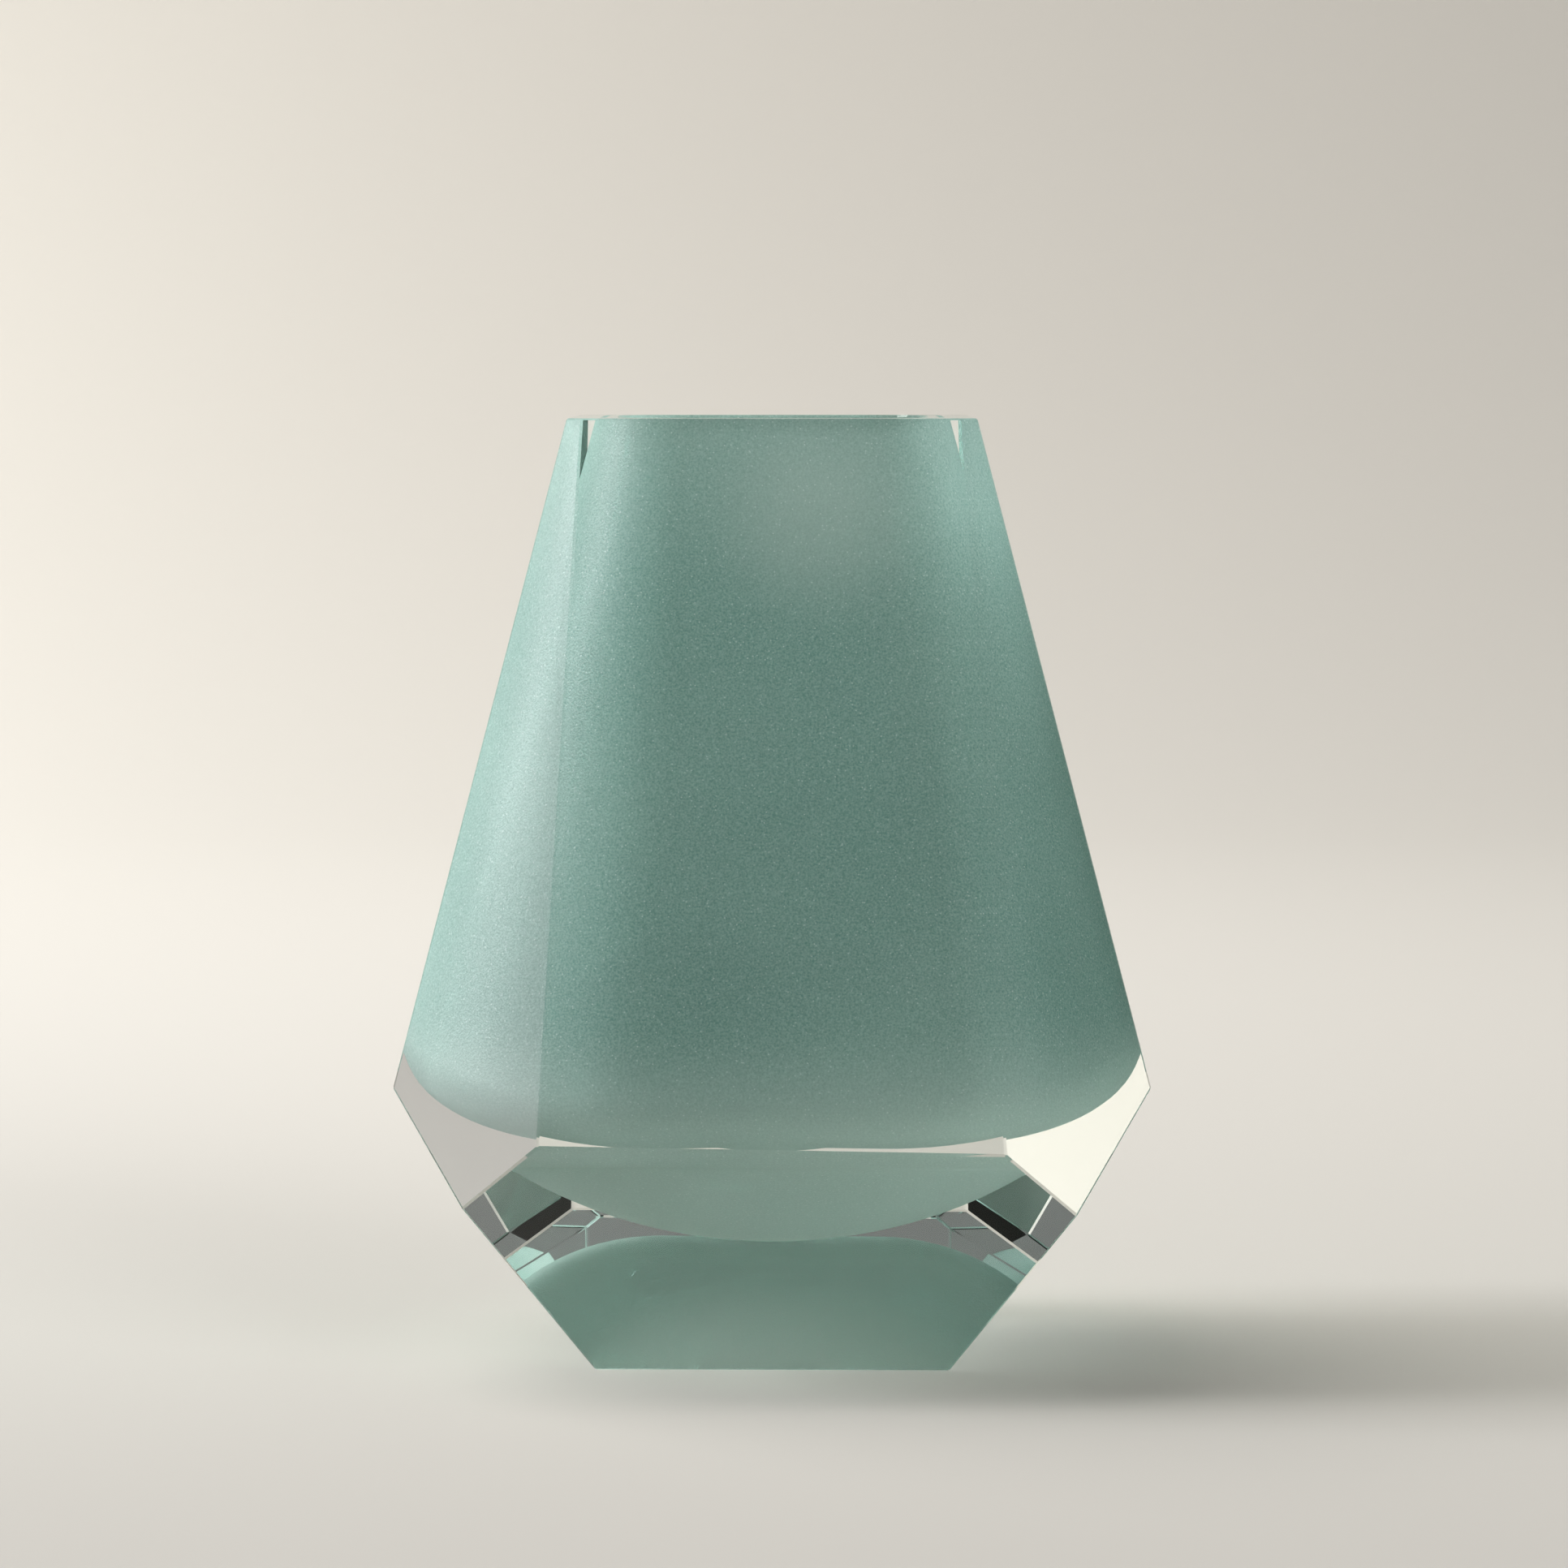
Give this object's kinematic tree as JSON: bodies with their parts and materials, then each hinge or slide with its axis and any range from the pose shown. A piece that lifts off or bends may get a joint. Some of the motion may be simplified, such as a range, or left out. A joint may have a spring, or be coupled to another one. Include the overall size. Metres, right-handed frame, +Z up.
{
  "type": "vase",
  "caption": "Heavy hand blown cased glass vase, cut to flat facets: square rim, wide faceted belly, small square base, with a sea green bubble inside clear glass",
  "frame": {"origin": "centre of the flat base, on the ground", "axes": "+Z up through the open rim, -Y towards the front, whose undercut facet is a little off square, +X to the right seen from the front"},
  "size_m": [0.1738, 0.174, 0.22],
  "materials": {
    "clear_glass": "polished",
    "green_glass": "fine grained"
  },
  "bodies": {
    "root": {"clear_casing": "clear_glass", "green_colour_layer": "green_glass", "clear_lining": "clear_glass"}
  },
  "joints": []
}
